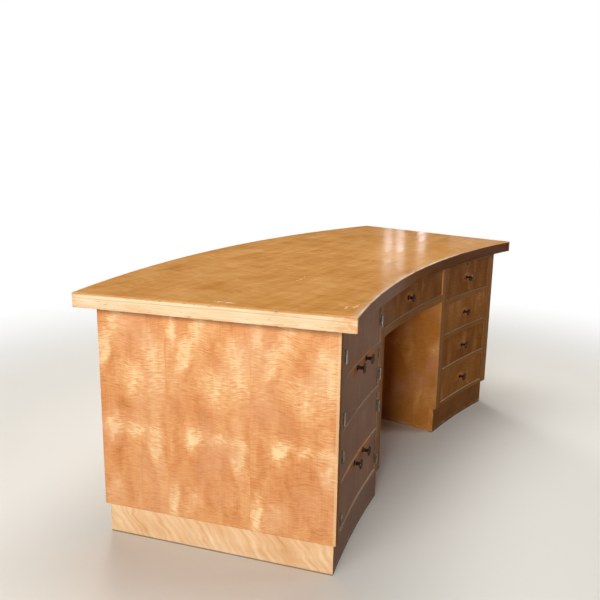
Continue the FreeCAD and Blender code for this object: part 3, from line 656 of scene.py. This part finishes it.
def end_lipping():
    """Pale strip on an end of the top, streaked, stained and marked, with worn orange corners."""
    shades = Shades("end_lipping")
    along, across, height = shades.straight(END_ANGLE)
    point = shades.joined(along, across, height)
    below = shades.math("SUBTRACT", DESK_HEIGHT, height)
    streaks = shades.streaks(point, *END_STREAKS)
    clouds = shades.streaks(point, *END_CLOUDS)
    colour = shades.tones(shades.total(END_LIPPING_BASE, streaks, clouds), LIPPING_TONES)
    stain = shades.times(shades.patches(point, *STAIN_PATCHES), shades.fade(below, *STAIN_DEPTHS))
    colour = shades.tinted(colour, STAIN_TONE, stain, amount=0.6)
    colour = shades.tinted(colour, MARK_TONE, shades.patches(point, *MARK_PATCHES), amount=0.6)
    drift = shades.streaks(point, *SEAM_DRIFT)
    from_seam = shades.math("ABSOLUTE", shades.total(below, drift, -LIPPING_SEAM))
    colour = shades.tinted(colour, MARK_TONE, shades.fade(from_seam, *SEAM_REACH), amount=0.3)
    front_corner = shades.fade(along, *FRONT_CORNER_RADII)
    back_corner = shades.fade(along, *BACK_CORNER_RADII)
    ragged = shades.patches(point, *CORNER_PATCHES)
    corners = shades.times(shades.math("ADD", front_corner, back_corner), ragged)
    colour = shades.tinted(colour, CORNER_TONE, corners, amount=0.65)
    colour = shades.tinted(colour, MARK_TONE, shades.fade(below, *GLUE_DEPTHS), amount=0.55)
    from_arris = shades.math("MINIMUM", below, shades.math("SUBTRACT", TOP_THICKNESS, below))
    nicks = shades.times(shades.patches(point, *NICK_PATCHES), shades.fade(from_arris, *NICK_REACH))
    colour = shades.tinted(colour, NICK_TONE, nicks, amount=0.6)
    colour = under_veneer(shades, colour, below)
    return shades.finish(colour, roughness=0.34, height=streaks, gloss=0.25)


def long_lipping():
    """Brown strip on a curved edge of the top.

    The front one is greyer on the left (fading and a painted sheen), darker to the right, and pale on its
    upper arris (rubbing and a painted highlight).
    """
    shades = Shades("long_lipping")
    arc, radius, height = shades.curved()
    point = shades.joined(arc, radius, height)
    below = shades.math("SUBTRACT", DESK_HEIGHT, height)
    streaks = shades.streaks(point, *LONG_STREAKS)
    clouds = shades.streaks(point, *LONG_CLOUDS)
    dark = shades.times(shades.fade(arc, *DARK_RUN), -0.30)
    front = shades.tones(shades.total(FRONT_LIPPING_BASE, streaks, clouds, dark), FRAME_TONES)
    front = shades.tinted(front, CHESTNUT_TONE, shades.fade(arc, *CHESTNUT_RUN), amount=0.8)
    front = faded_with_sheen(shades, front, arc)
    back = shades.tones(shades.total(BACK_LIPPING_BASE, streaks, clouds), FRAME_TONES)
    colour = shades.mix(shades.fade(radius, *BACK_EDGE_RADII), front, back)
    colour = under_veneer(shades, colour, below)
    # pale upper arris: partly rubbing, partly a painted highlight
    arris = shades.times(shades.fade(radius, *ARRIS_RADII), shades.fade(below, *ARRIS_DEPTHS))
    rubbed_highlight = shades.times(arris, shades.patches(point, *RUB_HIGHLIGHT_PATCHES))
    rubbed_highlight = shades.times(rubbed_highlight, shades.fade(arc, *RUB_HIGHLIGHT_RUN))
    colour = shades.tinted(colour, RUB_AND_HIGHLIGHT_TONE, rubbed_highlight, amount=0.85)
    return shades.finish(colour, roughness=0.36, height=streaks, gloss=0.06)


def plain_colour(shades, upright=False):
    """Colour and pores of plain pale wood, with its grain from front to back or upright."""
    point = shades.here()
    if upright:
        x, y, z = shades.split(point)
        point = shades.joined(x, z, y)
    streaks = shades.streaks(point, *INNER_STREAKS)
    clouds = shades.streaks(point, *INNER_CLOUDS)
    pores = shades.streaks(point, *INNER_PORES)
    return shades.tones(shades.total(INNER_BASE, streaks, clouds, pores), INNER_TONES), pores


def front_veneer(name, knobs, reach, base):
    """Brown veneer of the doors or a drawer front, worn round the knobs and edges.

    The inside face is plain wood.
    """
    shades = Shades(name)
    arc, _, height = shades.curved()
    colour, ripple = leaf_colour(shades, arc, height, FRONT_SEAM, contrast=0.75, base=base,
                                 tones=FRONT_TONES)
    colour = knob_wear(shades, faded_with_sheen(shades, colour, arc), knobs, reach)
    colour = shades.mix(shades.facing_inside(), colour, plain_colour(shades, upright=True)[0])
    colour = shades.edges(colour, radius=0.003, wear=0.5, painted_shade=0.85)
    return shades.finish(colour, shades.uneven(*FRONT_ROUGHNESS, ripple), ripple, gloss=0.12)


def frame_wood(name, grain, knobs=()):
    """Solid brown wood of the stiles or rails, from the streaks and clouds of its grain, with a painted
    highlight on the faces that look up.
    """
    shades = Shades(name)
    arc, radius, height = shades.curved()
    point = shades.joined(arc, radius, height)
    streaks, clouds = [shades.streaks(point, *noise) for noise in grain]
    colour = shades.tones(shades.total(FRAME_BASE, streaks, clouds), FRAME_TONES)
    colour = faded_with_sheen(shades, colour, arc)
    if knobs:
        colour = knob_wear(shades, colour, knobs, DOOR_WEAR)
    colour = shades.edges(colour, radius=0.0018, wear=0.35, painted_shade=0.6)
    # painted highlight on the faces that look up, where light from above falls
    colour = shades.tinted(colour, LIT_LEDGE_TONE, shades.facing((0, 0, 1)), amount=0.8)
    return shades.finish(colour, roughness=0.44, height=streaks, gloss=0.12)


def plinth_veneer():
    """Plinth veneer with a slanting ripple, scuffed pale and dirty at the floor."""
    shades = Shades("plinth_veneer")
    x, y, height = shades.split(shades.place())
    run = shades.math("ADD", x, y)
    flat = shades.joined(run, height, 0.0)
    wander = shades.streaks(flat, *PLINTH_WANDER)
    slant = shades.total(run, shades.times(height, PLINTH_SLANT), wander)
    ripple = shades.streaks(shades.joined(slant, height, 0.0), *PLINTH_RIPPLE)
    clouds = shades.streaks(flat, *PLINTH_CLOUDS)
    lines = shades.streaks(flat, *PLINTH_LINES)
    figure = shades.total(ripple, clouds, lines)
    colour = shades.tones(shades.math("ADD", PLINTH_BASE, figure), PLINTH_TONES)
    front = shades.total(PLINTH_FRONT_BASE, shades.times(ripple, 0.35), clouds)
    front = faded_with_sheen(shades, shades.tones(front, FRAME_TONES), shades.curved()[0])
    colour = shades.mix(shades.facing_user(), colour, front)
    # darker tones on the faces towards the kneehole, as painted shade
    knee_shaded = shades.tones(shades.math("ADD", PLINTH_KNEE_SHADED_BASE, figure), KNEE_SHADED_TONES)
    colour = shades.mix(shades.facing_end(-1), colour, knee_shaded)
    colour = scuffed(shades, colour, run, height)
    colour = shades.tinted(colour, GRIME_AND_SHADE_TONE, shades.fade(height, *DIRT_HEIGHTS), amount=0.7)
    colour = shades.edges(colour, radius=0.002, wear=0.4, painted_shade=0.2)
    return shades.finish(colour, roughness=0.5, height=ripple, gloss=0.25)


def inner_wood():
    """Plain pale wood of the boxes, shelves and runners."""
    shades = Shades("inner_wood")
    colour, pores = plain_colour(shades)
    return shades.finish(colour, roughness=0.62, height=pores, gloss=0.2)


def metal(name, tones, tarnish, roughness, metallic):
    """Metal that has gone from its first tone to its second where it is tarnished."""
    shades = Shades(name)
    sizes, limits = tarnish
    patina = shades.noise(shades.here(), sizes, TARNISH_DETAIL)
    colour = shades.mix(shades.fade(patina, *limits), *tones)
    shades.surface.inputs["Metallic"].default_value = metallic
    roughness = shades.uneven(*roughness, patina)
    return shades.finish(colour, roughness, patina, depth=METAL_DEPTH, gloss=0.5)


def dark_metal():
    """Blackened knobs, with brown worn through."""
    return metal("dark_metal", DARK_TONES, DARK_TARNISH, DARK_ROUGHNESS, metallic=0.9)


def fitting_steel():
    """Bright steel of the hinges, lock and screws, a little tarnished."""
    return metal("fitting_steel", STEEL_TONES, STEEL_TARNISH, STEEL_ROUGHNESS, metallic=0.8)


def dress(material, *names):
    """Gives nodes a material."""
    for name in names:
        mesh = nodes[name].data
        mesh.materials.clear()
        mesh.materials.append(material)


def dress_desk():
    """A finish for each node."""
    places = [(level, side) for level in ("lower", "upper") for side in ("outer", "inner")]
    doors = [level + "_" + side + "_door" for level, side in places]
    drawers = list(DRAWER_BASES)
    door_knobs = [door + "_knob" for door in doors]
    drawer_knobs = [drawer + "_knob" for drawer in drawers]
    dress(top_veneer(), "top_core")
    dress(end_lipping(), "top_end_lippings")
    dress(long_lipping(), "top_long_lippings")
    dress(end_veneer(), "left_end_panel", "right_end_panel")
    dress(kneehole_veneer(), "left_kneehole_panel", "right_kneehole_panel")
    dress(back_veneer(), "back_panel")
    dress(plinth_veneer(), "left_plinth", "right_plinth")
    door_veneer = front_veneer("door_veneer", door_knobs, DOOR_WEAR, DOOR_BASE)
    dress(door_veneer, *[door + "_panel" for door in doors])
    for drawer, base in DRAWER_BASES.items():
        drawer_veneer = front_veneer(drawer + "_veneer", [drawer + "_knob"], DRAWER_WEAR, base)
        dress(drawer_veneer, drawer + "_front")
    dress(frame_wood("stile_wood", STILE_GRAIN), "left_stiles", "right_stiles")
    dress(frame_wood("rail_wood", RAIL_GRAIN), "left_rails", "right_rails", "centre_rails")
    dress(frame_wood("door_rail_wood", RAIL_GRAIN, door_knobs), *[door + "_rail" for door in doors])
    dress(inner_wood(), *[drawer + "_box" for drawer in drawers], "top_cleats", "left_bottom_board",
          "right_bottom_board", "centre_runners", "drawer_runners", "cupboard_divider",
          "cupboard_shelves", "shelf_battens", "door_stops")
    dress(dark_metal(), *door_knobs, *drawer_knobs, "drawer_1_keyhole_plate")
    dress(fitting_steel(), *[door + "_hinge_leaves" for door in doors], "hinge_frame_leaves",
          "hinge_pins", "top_screws", "drawer_1_lock")


def make_camera():
    """The photograph's own view."""
    ahead = Vector((math.sin(YAW), math.cos(YAW), 0))
    forward = ahead * math.cos(PITCH) - Vector((0, 0, math.sin(PITCH)))
    level = Vector((math.cos(YAW), -math.sin(YAW), 0))
    upward = level.cross(forward)
    right = level * math.cos(ROLL) + upward * math.sin(ROLL)
    up = upward * math.cos(ROLL) - level * math.sin(ROLL)
    data = bpy.data.cameras.new("camera")
    data.sensor_width = SENSOR_WIDTH
    data.lens = FOCAL_PIXELS / PICTURE_WIDTH * SENSOR_WIDTH
    data.shift_x = 0.5 - VIEW_CENTRE[0] / PICTURE_WIDTH
    data.shift_y = VIEW_CENTRE[1] / PICTURE_WIDTH - 0.5
    camera = bpy.data.objects.new("camera", data)
    turn = Matrix((right, up, -forward)).transposed().to_4x4()
    camera.matrix_world = Matrix.Translation(EYE) @ turn
    bpy.context.scene.collection.objects.link(camera)
    bpy.context.scene.camera = camera


def make_light(name, place, target, size, level, mirrored):
    """A soft panel of light. Its level is what a facing white surface at the target would show.

    A mirrored one shows only in reflections, and the others only light the surfaces.
    """
    place = Vector(place)
    reach = Vector(target) - place
    data = bpy.data.lights.new(name, "AREA")
    data.shape = "RECTANGLE"
    data.size = size[0]
    data.size_y = size[1]
    data.energy = level * math.pi**2 * reach.length_squared
    light = bpy.data.objects.new(name, data)
    light.location = place
    light.rotation_euler = reach.to_track_quat("-Z", "Y").to_euler()
    light.visible_diffuse = not mirrored
    light.visible_glossy = mirrored
    bpy.context.scene.collection.objects.link(light)


def make_lights():
    """The lamps, and the windows that the top mirrors."""
    for lamp in LAMPS:
        make_light(*lamp)
    for number, (place, target) in enumerate(WINDOWS):
        make_light("window_" + str(number), place, target, WINDOW_SIZE, WINDOW_LEVEL, mirrored=True)


def make_world():
    """White behind the desk, a soft light from all round, and reflections that are dim at the horizon."""
    world = bpy.data.worlds.new("studio")
    world.use_nodes = True
    bpy.context.scene.world = world
    sky = Nodes(world.node_tree)
    path = sky.add("LightPath").outputs
    seen = path["Is Camera Ray"]
    for output in ("Is Glossy Ray", "Is Transmission Ray"):
        seen = sky.math("MAXIMUM", seen, path[output])
    level = sky.ramp(seen, 0.0, 1.0, low=AMBIENT_LEVEL)
    height = sky.split(sky.add("TexCoord").outputs["Generated"])[2]
    horizon = sky.ramp(height, *HORIZON_HEIGHTS, low=HORIZON_LEVEL)
    dim = sky.ramp(path["Is Glossy Ray"], 0.0, 1.0, low=1.0, high=horizon)
    background = world.node_tree.nodes["Background"]
    background.inputs["Color"].default_value = WHITE
    sky.feed(background.inputs["Strength"], sky.times(level, dim))


def make_floor():
    """A pale floor that goes over into the white behind it, and throws warm light back up."""
    shades = Shades("floor")
    point = shades.here()
    mottle = shades.math("ADD", NOISE_MIDDLE, shades.streaks(point, *FLOOR_MOTTLE))
    seen = shades.add("LightPath").outputs["Is Camera Ray"]
    tint = shades.mix(seen, FLOOR_BOUNCE_TONE, shades.mix(mottle, *FLOOR_TONES))
    shades.finish(tint, roughness=0.5, gloss=0.0)
    away = shades.fade(shades.vector("LENGTH", point), *FLOOR_FADE)
    glow = shades.add("Emission", (WHITE, 1.0)).outputs[0]
    blend = shades.add("MixShader", (shades.times(away, seen), shades.surface.outputs[0], glow))
    output = shades.tree.nodes["Material Output"]
    shades.feed(output.inputs["Surface"], blend.outputs[0])
    bpy.ops.mesh.primitive_circle_add(vertices=FLOOR_SIDES, radius=FLOOR_RADIUS, fill_type="NGON")
    floor = bpy.context.object
    floor.name = "floor"
    floor.data.materials.append(shades.material)


dress_desk()
make_camera()
make_world()
make_lights()
make_floor()

scene = bpy.context.scene
scene.view_settings.view_transform = "Standard"
